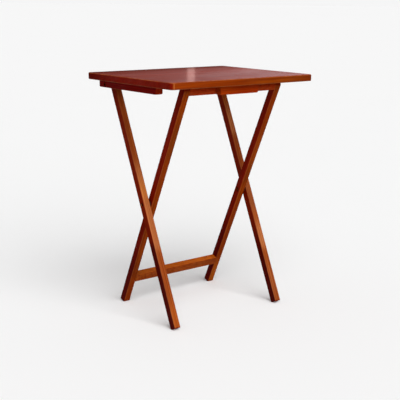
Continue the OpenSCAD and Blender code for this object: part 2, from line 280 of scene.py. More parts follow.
def noise_of(tree, vector, scale, detail=2.0, roughness=0.5, distortion=0.0):
    """The plain value of a Noise Texture, whose scale is one number, or one for each axis."""
    if isinstance(scale, tuple):
        vector = vectors(tree, "MULTIPLY", vector, scale)
        scale = 1.0
    return add_node(tree, "ShaderNodeTexNoise",
                    {"Vector": vector, "Scale": scale, "Detail": detail, "Roughness": roughness,
                     "Distortion": distortion}).outputs["Fac"]


def bump_of(tree, height, depth, distance):
    """The normal of a surface with a fine relief."""
    return add_node(tree, "ShaderNodeBump",
                    {"Height": height, "Strength": depth, "Distance": distance}).outputs[0]


def opaque(colour, share=1.0):
    """A share of a colour, with its alpha."""
    return (*(share * c for c in colour), 1.0)


# Effects that several finishes share

VECTOR = "NodeSocketVector"
VALUE = "NodeSocketFloat"


def new_group(name, inputs, outputs):
    """An empty shader node group: its tree, the values given to it, and its output node."""
    group = bpy.data.node_groups.new(name, "ShaderNodeTree")
    for label, kind, default in inputs:
        made = group.interface.new_socket(name=label, in_out="INPUT", socket_type=kind)
        if default is not None:
            made.default_value = default
    for label, kind in outputs:
        group.interface.new_socket(name=label, in_out="OUTPUT", socket_type=kind)
    return group, group.nodes.new("NodeGroupInput").outputs, group.nodes.new("NodeGroupOutput")


def grain_group():
    """Growth rings, streaks, fibres and pores of a board whose grain runs along Z."""
    group, given, result = new_group(
        "Wood grain",
        [("Vector", VECTOR, None), ("Ring Spacing", VALUE, 0.004), ("Wander", VALUE, 0.004)],
        [("Rings", VALUE), ("Streaks", VALUE), ("Fibres", VALUE), ("Pores", VALUE)])
    vector = given["Vector"]
    drift = maths(group, "SUBTRACT", noise_of(group, vector, (9.0, 9.0, 1.6), 3.0), 0.5)
    sway = times(group, drift, times(group, given["Wander"], 6.0))
    flat = vectors(group, "MULTIPLY", vector, (1.0, 1.0, 0.0))
    out = add_node(group, "ShaderNodeVectorMath", {0: flat}, operation="LENGTH").outputs["Value"]
    turns = maths(group, "DIVIDE", maths(group, "ADD", out, sway), given["Ring Spacing"])
    uneven = noise_of(group, add_node(group, "ShaderNodeCombineXYZ", {"X": turns}).outputs[0], 0.7, 1.0)
    wave = maths(group, "SINE", times(group, maths(group, "ADD", turns, uneven), 2 * math.pi))
    feed(group, result, {
        "Rings": times(group, ramp_of(group, wave, -0.6, 1.0), ramp_of(group, uneven, 0.3, 0.62)),
        "Streaks": ramp_of(group, noise_of(group, vector, (230.0, 230.0, 6.0)), 0.3, 0.7),
        "Fibres": noise_of(group, vector, (900.0, 900.0, 16.0), 3.0, 0.6),
        "Pores": ramp_of(group, noise_of(group, vector, (1500.0, 1500.0, 75.0), 1.0), 0.66, 0.74)})
    return group


def edge_group():
    """Rubbed arrises along a board, partly worn and partly painted highlight on the rounded edges, and a
    painted highlight: the fine pale line where a rounded corner starts at its low end.
    """
    group, given, result = new_group(
        "Edge wear and highlights",
        [("Vector", VECTOR, None), ("Normal", VECTOR, None)],
        [("Arris Wear and Highlight", VALUE), ("Corner Highlight", VALUE)])
    sizes = axes_of(group, vectors(group, "ABSOLUTE", given["Normal"]))
    rubbed = ramp_of(group, noise_of(group, given["Vector"], 55.0, 3.0, 0.6), 0.35, 0.68, 0.35, 1.0)
    across = maths(group, "MINIMUM", sizes[0], maths(group, "MAXIMUM", sizes[1], sizes[2]))
    ahead = axes_of(group, given["Normal"])[2]
    # Painted highlight: a thin pale line on the rounded corners at the board's low end, next to the long
    # faces.
    line = times(group, ramp_of(group, ahead, -0.03, -0.10), ramp_of(group, ahead, -0.36, -0.24))
    feed(group, result, {
        "Arris Wear and Highlight": times(group, ramp_of(group, across, 0.15, 0.55), rubbed),
        "Corner Highlight": times(group, line, ramp_of(group, sizes[0], 0.3, 0.1))})
    return group


def stave_group():
    """Boards glued side by side along Y: a shifted vector, a tone for each board, and the glue lines."""
    group, given, result = new_group(
        "Staves",
        [("Vector", VECTOR, None), ("Stave Width", VALUE, 0.055)],
        [("Vector", VECTOR), ("Tone", VALUE), ("Seam", VALUE)])
    count = maths(group, "DIVIDE", axes_of(group, given["Vector"])[1], given["Stave Width"])
    chance = add_node(group, "ShaderNodeTexWhiteNoise", {"W": maths(group, "FLOOR", count)},
                      noise_dimensions="1D").outputs
    shift = vectors(group, "MULTIPLY", chance["Color"], (0.03, 0.0, 2.5))
    inside = maths(group, "FRACT", count)
    gap = maths(group, "MINIMUM", inside, maths(group, "SUBTRACT", 1.0, inside))
    feed(group, result, {
        "Vector": vectors(group, "ADD", given["Vector"], shift),
        "Tone": chance["Value"],
        "Seam": ramp_of(group, gap, 0.010, 0.0)})
    return group


def facing_group():
    """How much a face looks along the grain (Z) or sideways (X), in the board's own frame."""
    group, given, result = new_group("Facing", [("Normal", VECTOR, None)], [("End", VALUE), ("Side", VALUE)])
    sizes = axes_of(group, vectors(group, "ABSOLUTE", given["Normal"]))
    feed(group, result, {
        "End": ramp_of(group, sizes[2], 0.3, 0.7),
        "Side": ramp_of(group, sizes[0], 0.45, 0.85)})
    return group


def handling_group():
    """Faint smears and dulled patches of a lacquered surface, as a roughness and a weight of the lacquer."""
    group, given, result = new_group(
        "Handling",
        [("Vector", VECTOR, None), ("Glossy", VALUE, 0.3), ("Dull", VALUE, 0.5), ("Lacquer", VALUE, 0.1)],
        [("Roughness", VALUE), ("Lacquer", VALUE)])
    patches = noise_of(group, given["Vector"], 14.0, 4.0, 0.65, 0.6)
    smears = noise_of(group, given["Vector"], (26.0, 26.0, 8.0), 3.0, 0.6)
    feed(group, result, {
        "Roughness": ramp_of(group, patches, 0.3, 0.7, given["Glossy"], given["Dull"]),
        "Lacquer": times(group, given["Lacquer"], ramp_of(group, smears, 0.3, 0.7, 1.3, 0.7))})
    return group


def tarnish_group():
    """Grime and fine tool marks of plated metal, as a mask and a roughness."""
    group, given, result = new_group(
        "Tarnish", [("Vector", VECTOR, None)], [("Grime", VALUE), ("Roughness", VALUE)])
    dirt = noise_of(group, given["Vector"], 420.0, 4.0, 0.7)
    marks = noise_of(group, given["Vector"], (200.0, 3000.0, 3000.0))
    feed(group, result, {
        "Grime": ramp_of(group, dirt, 0.42, 0.72),
        "Roughness": ramp_of(group, marks, 0.3, 0.7, 0.24, 0.42)})
    return group


GROUP_MAKERS = {"Wood grain": grain_group, "Edge wear and highlights": edge_group, "Staves": stave_group,
                "Facing": facing_group, "Handling": handling_group, "Tarnish": tarnish_group}


def place_group(tree, name, inputs):
    """The outputs of a node that uses one of the shared groups, which is built the first time."""
    group = bpy.data.node_groups.get(name) or GROUP_MAKERS[name]()
    return add_node(tree, "ShaderNodeGroup", inputs, node_tree=group).outputs


# Finishes

# What the parts of the figure multiply the stain by, and the tints of painted light and shade: the thin-stain
# tint also draws painted light, the deep tint is painted shade and the bright tint painted light.
THIN_AND_LIT = (1.40, 2.10, 3.80)
PAINTED_SHADE = (0.74, 0.72, 0.80)
PAINTED_LIGHT = (1.28, 1.34, 1.00)
RINGS = (0.66, 0.50, 0.46)
DARK_STREAKS = (0.84, 0.76, 0.72)
LIGHT_STREAKS = (1.15, 1.24, 1.28)
FIBRES = (1.20, 1.28, 1.30)
PORES = (0.42, 0.32, 0.30)
SEAMS = (0.40, 0.30, 0.28)

# The share of the bare wood's colour where an edge is rubbed, and where a painted highlight lies on an edge
BARE = 0.45


def new_material(name):
    """A material with its shader, and the tree that they sit in."""
    material = bpy.data.materials.new(name)
    material.use_nodes = True
    return material, material.node_tree, material.node_tree.nodes["Principled BSDF"]


def board_frame(tree, centre, turn):
    """Position and normal in a board's own frame: X across, Y through, Z along the grain."""
    coords = add_node(tree, "ShaderNodeTexCoord").outputs
    place = add_node(tree, "ShaderNodeMapping",
                     {"Vector": coords["Object"], "Location": centre, "Rotation": turn},
                     vector_type="TEXTURE")
    facing = add_node(tree, "ShaderNodeMapping",
                      {"Vector": coords["Normal"], "Rotation": turn}, vector_type="TEXTURE")
    return place.outputs[0], facing.outputs[0]


def stretch_of(tree, along, start, stop):
    """1 between start and stop along a board and 0 elsewhere, with soft ends."""
    return times(tree, ramp_of(tree, along, start - 0.015, start + 0.015),
                 ramp_of(tree, along, stop + 0.03, stop - 0.03))


def laid_stain(tree, tones, looks, flat, along, reach, slope, head, foot):
    """The tone of each kind of face, with the painted light and shade laid along the board."""
    face, side, end = tones
    # The side and end tones hold painted shade on the legs' sides and the top's ends, and painted light on
    # the cleats' ends.
    stain = blend_of(tree, looks["Side"], opaque(face), opaque(side))
    stain = blend_of(tree, looks["End"], stain, opaque(end))
    # slope: the tone gains evenly along the board towards its high end, a painted gradient of light and
    # shade.
    gain = maths(tree, "MULTIPLY_ADD", looks["Side"], slope[1] - slope[0], slope[0])
    stain = scaled(tree, stain, maths(tree, "MULTIPLY_ADD", gain, maths(tree, "DIVIDE", along, reach), 1.0))
    # head: the faces get lighter towards the upper end, painted light where the top shades them.
    if head:
        start, full, share = head
        lighter = scaled(tree, stain, ramp_of(tree, along, start, full, 1.0, share))
        stain = blend_of(tree, flat, stain, lighter)
    # foot: the sides get darker and redder towards the lower end, painted shade.
    if foot:
        start, full, share = foot
        low = times(tree, ramp_of(tree, along, start, full), looks["Side"])
        stain = tinted(tree, low, stain, (share, share ** 2, share ** 2))
    return stain


def patchy_stain(tree, stain, place, along, flat, pale, toned):
    """The stain of the faces with soft thin patches, with the listed pale stretches of painted light, and
    with the toned stretches of painted light and painted shade.
    """
    thin = ramp_of(tree, noise_of(tree, place, (22.0, 22.0, 7.0)), 0.42, 0.68, 0.0, 0.4)
    # Pale stretches: painted light, drawn with the tint of thin stain.
    for start, stop in pale:
        thin = maths(tree, "MAXIMUM", thin, stretch_of(tree, along, start, stop))
    stain = tinted(tree, times(tree, thin, flat), stain, THIN_AND_LIT)
    # Toned stretches: painted light where the tint is lighter, painted shade where it is darker.
    for start, stop, tint in toned:
        stain = tinted(tree, times(tree, stretch_of(tree, along, start, stop), flat), stain, tint)
    return stain


def figured_stain(tree, stain, grain, ring_depth):
    """The stain with the rings, streaks, fibres and pores of the wood."""
    stain = tinted(tree, times(tree, grain["Rings"], ring_depth), stain, RINGS)
    stain = blend_of(tree, grain["Streaks"], vectors(tree, "MULTIPLY", stain, DARK_STREAKS),
                     vectors(tree, "MULTIPLY", stain, LIGHT_STREAKS))
    stain = tinted(tree, ramp_of(tree, grain["Fibres"], 0.42, 0.75, 0.0, 0.75), stain, FIBRES)
    return tinted(tree, times(tree, grain["Pores"], 0.55), stain, PORES)


def stain_board(node, turn, face, side, end, pith, staves=False, gloss=(0.45, 0.6), lacquer=0.05,
                polish=0.3, wear=0.7, slope=(0.0, 0.0), pale=(), toned=(), head=None, foot=None):
    """Gives a CAD board its own reddish stained and lacquered cherry, in place of its plain material.

    turn puts the board's own frame in place. face, side and end are its tones, which hold painted shade on
    the legs' sides and the top's ends and painted light on the cleats' ends. pith is how far the heart of the
    tree lies off the board, which sets the figure. slope is how much the tone of the faces and that of the
    sides gain towards the high end, a painted gradient of light and shade. pale lists the stretches of
    painted light on the faces, drawn with the tint of thin stain, and toned those where the faces take a
    tint, lighter for painted light and darker for painted shade, with that tint. head is where the painted
    light on the faces' upper end starts, where it is full, and its gain. foot is where the painted shade on
    the sides' lower end starts, where it is full, and the share of light that it keeps.
    """
    finish = bpy.context.scene.tray_table_finish
    material, tree, shader = new_material("Cherry staves" if staves else "Cherry " + node.replace("_", " "))
    centre, half = board_of(node, turn)
    place, facing = board_frame(tree, centre, turn)
    _, through, along = axes_of(tree, place)
    looks = place_group(tree, "Facing", {"Normal": facing})
    flat = maths(tree, "SUBTRACT", 1.0, looks["Side"])
    edge = place_group(tree, "Edge wear and highlights", {"Vector": place, "Normal": facing})
    arris_wear_and_highlight = edge["Arris Wear and Highlight"]
    sheen = place_group(tree, "Handling", {"Vector": place, "Glossy": gloss[0], "Dull": gloss[1],
                                           "Lacquer": lacquer})
    coat = sheen["Lacquer"]
    stain = laid_stain(tree, (face, side, end), looks, flat, along, half[2], slope, head, foot)
    grown = place
    if staves:
        boards = place_group(tree, "Staves", {"Vector": place, "Stave Width": finish.stave_width})
        grown = boards["Vector"]
        own_tone = ramp_of(tree, boards["Tone"], 0.0, 1.0, 0.94, 1.06)
        # Painted shade: the top is drawn darker towards its back edge.
        back = ramp_of(tree, through, 0.3 * half[1], half[1], 1.0, 0.52)
        stain = scaled(tree, stain, times(tree, own_tone, back))
        coat = times(tree, coat, ramp_of(tree, through, 0.2 * half[1], half[1], 1.0, 0.5))
        # The top also gets the painted highlight where its rounded corners start.
        arris_wear_and_highlight = maths(tree, "MAXIMUM", arris_wear_and_highlight, edge["Corner Highlight"])
    grain = place_group(tree, "Wood grain", {"Vector": vectors(tree, "ADD", grown, pith),
                                             "Ring Spacing": finish.ring_spacing, "Wander": 0.004})
    stain = patchy_stain(tree, stain, vectors(tree, "ADD", place, pith), along, flat, pale, toned)
    stain = figured_stain(tree, stain, grain, 0.4 if staves else 0.75)
    if staves:
        stain = tinted(tree, times(tree, boards["Seam"], 0.6), stain, SEAMS)
    # Worn arrises and the painted edge highlights take the rubbed colour; wear sets how much of both.
    rubbed = vectors(tree, "ADD", scaled(tree, stain, 1 - BARE), tuple(BARE * c for c in finish.worn_and_highlight_tone))
    stain = blend_of(tree, times(tree, arris_wear_and_highlight, wear), stain, rubbed)

    hollows = maths(tree, "ADD", grain["Pores"], times(tree, grain["Rings"], 0.25))
    relief = maths(tree, "SUBTRACT", times(tree, grain["Fibres"], 0.5), hollows)
    feed(tree, shader, {
        "Base Color": stain,
        "Coat Weight": coat,
        "Roughness": maths(tree, "ADD", sheen["Roughness"], times(tree, grain["Pores"], 0.12)),
        "Normal": bump_of(tree, relief, 0.25, 0.0002),
        "Specular IOR Level": 0.0,
        "Coat Roughness": polish})
    NODES[node].data.materials.clear()
    NODES[node].data.materials.append(material)


def raw_beech(name):
    """Unfinished beech with short flecks, for the dowels."""
    beech = bpy.context.scene.tray_table_finish.beech_tone
    material, tree, shader = new_material(name)
    across, _ = board_frame(tree, (0.0, 0.0, 0.0), ALONG_X)
    grain = place_group(tree, "Wood grain", {"Vector": across, "Ring Spacing": 0.002, "Wander": 0.002})
    wood = blend_of(tree, times(tree, grain["Rings"], 0.4), opaque(beech), opaque(beech, 0.72))
    feed(tree, shader, {
        "Base Color": blend_of(tree, times(tree, grain["Pores"], 0.5), wood, opaque(beech, 0.45)),
        "Roughness": ramp_of(tree, grain["Fibres"], 0.2, 0.8, 0.62, 0.82),
        "Normal": bump_of(tree, grain["Fibres"], 0.3, 0.0002)})
    return material


def plated_steel(name, colour):
    """Plated or browned steel with fine turning marks and some grime."""
    material, tree, shader = new_material(name)
    coords = add_node(tree, "ShaderNodeTexCoord").outputs
    marks = place_group(tree, "Tarnish", {"Vector": coords["Object"]})
    feed(tree, shader, {
        "Base Color": blend_of(tree, times(tree, marks["Grime"], 0.45), opaque(colour), opaque(colour, 0.35)),
        "Roughness": marks["Roughness"],
        "Metallic": 1.0,
        "Specular Tint": opaque(colour)})
    return material


def moulded_nylon(name):
    """Dark nylon with a fine moulded texture."""
    nylon = bpy.context.scene.tray_table_finish.nylon_tone
    material, tree, shader = new_material(name)
    coords = add_node(tree, "ShaderNodeTexCoord").outputs
    texture = noise_of(tree, coords["Object"], 2600.0)
    scuffs = ramp_of(tree, noise_of(tree, coords["Object"], 300.0, 4.0, 0.7), 0.5, 0.75)
    feed(tree, shader, {
        "Base Color": blend_of(tree, scuffs, opaque(nylon), opaque(nylon, 2.2)),
        "Roughness": ramp_of(tree, texture, 0.3, 0.7, 0.42, 0.6),
        "Normal": bump_of(tree, texture, 0.2, 0.0001),
        "Specular IOR Level": 0.12})
    return material


# Modelling by hand

# How far a cutter stands out of what it cuts
OVERCUT = 0.001


def deselect_all():
    """Leaves object mode with nothing selected."""
    if bpy.context.object and bpy.context.object.mode != "OBJECT":
        bpy.ops.object.mode_set(mode="OBJECT")
    bpy.ops.object.select_all(action="DESELECT")


def select_only(part):
    """Makes a part the one selected object, and the active one."""
    deselect_all()
    bpy.context.view_layer.objects.active = part
    part.select_set(True)


def turned_part(name, stations, sides):
    """A round closed part about Z, drawn out from a disc: each station is a height and a radius."""
    deselect_all()
    height, radius = stations[0]
    bpy.ops.mesh.primitive_circle_add(vertices=sides, radius=radius, fill_type="NGON",
                                      location=(0, 0, height))
    part = bpy.context.object
    part.name = name
    bpy.ops.object.transform_apply()
    bpy.ops.object.mode_set(mode="EDIT")
    bpy.ops.mesh.select_all(action="SELECT")
    for next_height, next_radius in stations[1:]:
        bpy.ops.mesh.extrude_region_move(TRANSFORM_OT_translate={"value": (0, 0, next_height - height)})
        spread = next_radius / radius
        bpy.ops.transform.resize(value=(spread, spread, 1), center_override=(0, 0, next_height))
        height, radius = next_height, next_radius
    bpy.ops.mesh.select_all(action="SELECT")
    bpy.ops.mesh.remove_doubles(threshold=1e-7)
    bpy.ops.mesh.normals_make_consistent(inside=False)
    bpy.ops.object.mode_set(mode="OBJECT")
    return part


def prism(name, sides, radius, low, high):
    """A straight prism about Z, used as a blank or as a cutter."""
    deselect_all()
    bpy.ops.mesh.primitive_cylinder_add(vertices=sides, radius=radius, depth=high - low,
                                        location=(0, 0, (low + high) / 2))
    made = bpy.context.object
    made.name = name
    bpy.ops.object.transform_apply()
    return made


def squeeze(part, chosen, share):
    """Draws the vertices that a test chooses by their places in towards the Z axis."""
    select_only(part)
    bpy.ops.object.mode_set(mode="EDIT")
    bpy.ops.mesh.select_all(action="DESELECT")
    bpy.ops.object.mode_set(mode="OBJECT")
    for v in part.data.vertices:
        v.select = chosen(v.co)
    bpy.ops.object.mode_set(mode="EDIT")
    bpy.ops.mesh.select_mode(type="VERT")
    bpy.ops.transform.resize(value=(share, share, 1), center_override=(0, 0, 0))
    bpy.ops.object.mode_set(mode="OBJECT")


def cut(part, cutter, operation="DIFFERENCE"):
    """Takes the cutter out of the part, or keeps what both share, and removes the cutter."""
    select_only(part)
    knife = part.modifiers.new("Cut", "BOOLEAN")
    knife.operation = operation
    knife.solver = "EXACT"
    knife.object = cutter
    bpy.ops.object.modifier_apply(modifier=knife.name)
    bpy.data.objects.remove(cutter)


def smooth(part, degrees):
    """Smooth shading, except across edges that are sharper than an angle."""
    select_only(part)
    bpy.ops.object.shade_smooth_by_angle(angle=math.radians(degrees))


def ring(outer, inner, height, ease):
    """A flat ring about Z from 0 to height, with eased edges."""
    sharp = 35
    body = prism("ring_pattern", 64, outer, 0, height)
    cut(body, prism("ring_bore", 64, inner, -OVERCUT, height + OVERCUT))
    bevel = body.modifiers.new("Eased edges", "BEVEL")
    bevel.width = ease
    bevel.segments = 2
    bevel.limit_method = "ANGLE"
    bevel.angle_limit = math.radians(sharp)
    bpy.ops.object.modifier_apply(modifier=bevel.name)
    smooth(body, sharp)
    return body


def thread_stations(start, end, pitch, crest, root):
    """Stations of a thread cut as a row of ridges, from start to end along Z."""
    count = max(1, round(abs(end - start) / pitch))
    step = (end - start) / count
    stations = []
    for i in range(count):
        stations += [(start + (i + 0.25) * step, root), (start + (i + 0.75) * step, crest)]
    return stations


def along_x(side, x, y, z):
    """The place of a part whose Z axis points outwards along X, on the left or the right side."""
    turn = Matrix.Rotation(QUARTER * side, 4, "Y")
    return Matrix.Translation((side * x, y, z)) @ turn


def set_copies(pattern, name, places, material, body, node):
    """Joins copies of a pattern at 4x4 places to one piece, which replaces a CAD node. The pattern goes."""
    deselect_all()
    made = []
    for place in places:
        copy = pattern.copy()
        copy.data = pattern.data.copy()
        bpy.context.collection.objects.link(copy)
        copy.data.transform(place)
        copy.select_set(True)
        made.append(copy)
    bpy.context.view_layer.objects.active = made[0]
    bpy.ops.object.join()
    piece = bpy.context.object
    piece.name = name
    piece.data.materials.clear()
    piece.data.materials.append(material)
    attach(piece, body)
    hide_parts(node)
    bpy.data.objects.remove(pattern)


def set_pair(pattern, name, x, pivots, material, node):
    """The same fitting on a pair of pivots, x out from the middle of the table on both sides."""
    places = [along_x(side, x, pivots["place"].y, pivots["place"].z) for side in SIDES]
    set_copies(pattern, name, places, material, pivots["body"], node)


def set_rings(kind, pivots, ease, bore, material):
    """The washers or the spacers of a pair of pivots, as rings with eased edges."""
    node = pivots["name"] + "_" + kind
    low, high = right_half(node)
    pattern = ring((high.z - low.z) / 2, bore / 2, high.x - low.x, ease)
    set_pair(pattern, pivots["name"] + "_eased_" + kind, low.x, pivots, material, node)


# Operators, one for each piece or group of like pieces

class TRAYTABLE_OT_finish_top(bpy.types.Operator):
    """Gives the top its glued staves, stain and lacquer, with painted light and shade along it and a painted
    highlight at its front corners
    """
    bl_idname = "tray_table.finish_top"
    bl_label = "Finish the Top"

    def execute(self, context):
        finish = context.scene.tray_table_finish
        # slope: the front edge darkens and the upper face lightens towards the right, painted light and
        # shade.
        stain_board("tabletop", ALONG_X, finish.top_front_tone, finish.top_tone, finish.top_end_grain_and_shade_tone,
                    pith=(0.11, 0.02, 0.3), staves=True, gloss=(0.4, 0.55), lacquer=0.074, polish=0.15,
                    wear=0.9, slope=(-0.24, 0.08))
        return {"FINISHED"}


class TRAYTABLE_OT_finish_battens(bpy.types.Operator):
    """Stains the two cleats and the catch block under the top, with painted light on the block and the
    cleats' ends and painted shade on the cleats' sides
    """
    bl_idname = "tray_table.finish_battens"
    bl_label = "Finish the Battens"

    def execute(self, context):
        finish = context.scene.tray_table_finish
        for node, pith in (("cleat_left", (0.05, 0.03, 0.2)), ("cleat_right", (0.04, -0.05, 0.9))):
            stain_board(node, ALONG_Y, finish.cleat_side_shade_tone, finish.cleat_side_shade_tone, finish.cleat_end_lit_tone,
                        pith=pith, wear=0.5)
        stain_board("catch_block", ALONG_X, finish.block_lit_tone, finish.block_lit_tone, finish.block_lit_tone,
                    pith=(-0.05, 0.04, 0.5), wear=0.5)
        return {"FINISHED"}


# How the wood of each leg looks, with its painted light and shade, in the words of stain_board
LEG_FIGURES = {
    "outer_leg_left": {
        "pith": (0.05, 0.035, 0.4), "slope": (0.0, -0.06), "pale": ((-0.135, 0.10),),
        "toned": ((0.010, 0.055, PAINTED_LIGHT), (-0.345, -0.285, PAINTED_LIGHT)),
        "head": (0.20, 0.26, 1.4), "foot": (-0.10, -0.13, 0.42)},
    "outer_leg_right": {
        "pith": (0.04, -0.06, 1.7), "slope": (0.10, 0.22), "pale": ((-0.19, -0.11), (0.16, 0.25)),
        "toned": ((-0.07, 0.005, PAINTED_SHADE), (0.255, 0.285, PAINTED_LIGHT)),
        "head": (0.14, 0.24, 1.3), "foot": (-0.10, -0.20, 0.50)},
    "inner_leg_left": {
        "pith": (-0.06, 0.04, 2.9), "slope": (-0.04, 0.12),
        "toned": ((0.14, 0.25, PAINTED_SHADE), (-0.26, -0.19, PAINTED_SHADE)),
        "head": (0.24, 0.31, 1.3), "foot": (-0.11, -0.23, 0.55)},
    "inner_leg_right": {
        "pith": (0.07, 0.03, 4.3), "slope": (0.0, 0.10), "pale": ((-0.35, -0.27),),
        "toned": ((0.02, 0.085, PAINTED_SHADE),),
        "head": (0.20, 0.31, 1.2), "foot": (-0.05, -0.20, 0.54)},
}


class TRAYTABLE_OT_finish_legs(bpy.types.Operator):
    """Stains the four legs, each with its own figure and its own painted light and shade"""
    bl_idname = "tray_table.finish_legs"
    bl_label = "Finish the Legs"

    def execute(self, context):
        finish = context.scene.tray_table_finish
        for node, figure in LEG_FIGURES.items():
            if node.startswith("outer"):
                turn = (-LEG_LEAN, 0, 0)
                face, side = finish.outer_face_tone, finish.outer_side_shade_tone
            else:
                turn = (LEG_LEAN, 0, 0)
                face, side = finish.inner_face_tone, finish.inner_side_shade_tone
            stain_board(node, turn, face, side, side, **figure)
        return {"FINISHED"}


class TRAYTABLE_OT_finish_rails(bpy.types.Operator):
    """Stains the top rail and the lower stretcher, with painted light on the rail and on the stretcher's
    upper face
    """
    bl_idname = "tray_table.finish_rails"
    bl_label = "Finish the Rails"

    def execute(self, context):
        finish = context.scene.tray_table_finish
        turn = (LEG_LEAN, QUARTER, 0)
        # Both slopes are painted gradients of light and shade along the rail and the stretcher.
        stain_board("top_rail", turn, finish.rail_lit_tone, finish.rail_lit_tone, finish.rail_lit_tone,
                    pith=(0.04, 0.05, 0.7), wear=0.4, slope=(-0.1, -0.1))
        stain_board("lower_stretcher", turn, finish.stretcher_face_tone, finish.stretcher_top_lit_tone,
                    finish.stretcher_face_tone, pith=(0.05, -0.03, 2.2), wear=0.4, slope=(-0.05, 0.22))
        return {"FINISHED"}


class TRAYTABLE_OT_make_dowels(bpy.types.Operator):
    """Models the fluted beech dowels of the four rail joints"""
    bl_idname = "tray_table.make_dowels"
    bl_label = "Make the Dowels"

    def execute(self, context):
        beech = raw_beech("Raw beech")
        along_leg = Vector((0, -math.sin(LEG_LEAN), math.cos(LEG_LEAN)))
        for rail in ("top_rail", "stretcher"):
            node = rail + "_dowels"
            low, high = right_half(node)
            pitch = self.pitch_of(low, high)
            pattern = self.fluted_dowel(self.radius_of(low, high, pitch), high.x - low.x,
                                        context.scene.tray_table_fittings)
            centre = (low + high) / 2
            spots = [centre + along_leg * (k * pitch) for k in (-0.5, 0.5)]
            places = [along_x(side, low.x, spot.y, spot.z) for side in SIDES for spot in spots]
            set_copies(pattern, rail + "_fluted_dowels", places, beech, "inner_frame", node)
        return {"FINISHED"}

    @staticmethod
    def pitch_of(low, high):
        """The spacing of two dowels along the leg, from the box that they fill."""
        return ((high.z - low.z) - (high.y - low.y)) / (math.cos(LEG_LEAN) - math.sin(LEG_LEAN))

    @staticmethod
    def radius_of(low, high, pitch):
        """The radius of the dowels, from the same box."""
        return ((high.z - low.z) - pitch * math.cos(LEG_LEAN)) / 2

    @staticmethod
    def fluted_dowel(radius, run, fittings):
        """A dowel along Z with chamfered ends and straight flutes."""
        ease = fittings.dowel_chamfer
        step = math.pi / fittings.dowel_flutes
        stations = [(0, radius - ease), (ease, radius), (run - ease, radius), (run, radius - ease)]
        dowel = turned_part("dowel_pattern", stations, sides=2 * fittings.dowel_flutes)
        squeeze(dowel, lambda at: round(math.atan2(at.y, at.x) / step) % 2 == 1,
                1 - fittings.flute_depth / radius)
        return dowel


class TRAYTABLE_OT_make_screws(bpy.types.Operator):
    """Models the countersunk wood screws with their threads and cross recesses"""
    bl_idname = "tray_table.make_screws"
    bl_label = "Make the Wood Screws"

    def execute(self, context):
        fittings = context.scene.tray_table_fittings
        steel = plated_steel("Yellow zinc", context.scene.tray_table_finish.zinc_tone)
        self.make_row("cleat_screws", "cross_recess_cleat_screws", 3, steel, fittings)
        self.make_row("catch_block_screws", "cross_recess_block_screws", 1, steel, fittings)
        return {"FINISHED"}

    def make_row(self, node, name, count, steel, fittings):
        """Copies of one screw, spread evenly over the box of a CAD node on both sides."""
        low, high = right_half(node)
        head_radius = (high.x - low.x) / 2
        low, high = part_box(node)
        places = []
        for side in SIDES:
            for i in range(count):
                share = i / (count - 1) if count > 1 else 0.5
                y = low.y + head_radius + share * (high.y - low.y - 2 * head_radius)
                places.append(Matrix.Translation((side * (high.x - head_radius), y, low.z)))
        set_copies(self.screw(head_radius, high.z - low.z, fittings), name, places, steel, "top", node)

    def screw(self, head_radius, run, fittings):
        """A screw that points up Z from the face of its head."""
        shank = fittings.screw_shank / 2
        root = shank - fittings.screw_thread_depth
        plain = run * 0.38
        tip = run - fittings.screw_shank
        rim = 0.0002
        lead = 0.0004
        runout = 0.0006
        nose = 0.0004
        point = 0.0001
        stations = [(0.0, head_radius - rim), (rim, head_radius)]
        stations += [(fittings.screw_head, shank), (plain, shank)]
        stations += thread_stations(plain + lead, tip, fittings.screw_pitch, shank, root)
        stations += [(tip + runout, root), (run - nose, nose), (run, point)]
        screw = turned_part("screw_pattern", stations, sides=32)
        for turn in (0.0, QUARTER):
            cut(screw, self.recess_cutter(turn, fittings))
        smooth(screw, degrees=32)
        return screw

    @staticmethod
    def recess_cutter(turn, fittings):
        """The cutter of one arm of the cross recess, which narrows towards the bottom."""
        narrowing = 0.45
        deselect_all()
        bpy.ops.mesh.primitive_cube_add(size=1, location=(0, 0, (fittings.recess_depth - OVERCUT) / 2))
        cutter = bpy.context.object
        cutter.scale = (fittings.recess_width, fittings.recess_blade, fittings.recess_depth + OVERCUT)
        cutter.rotation_euler = (0, 0, turn)
        bpy.ops.object.transform_apply()
        squeeze(cutter, lambda at: at.z > 0, narrowing)
        return cutter


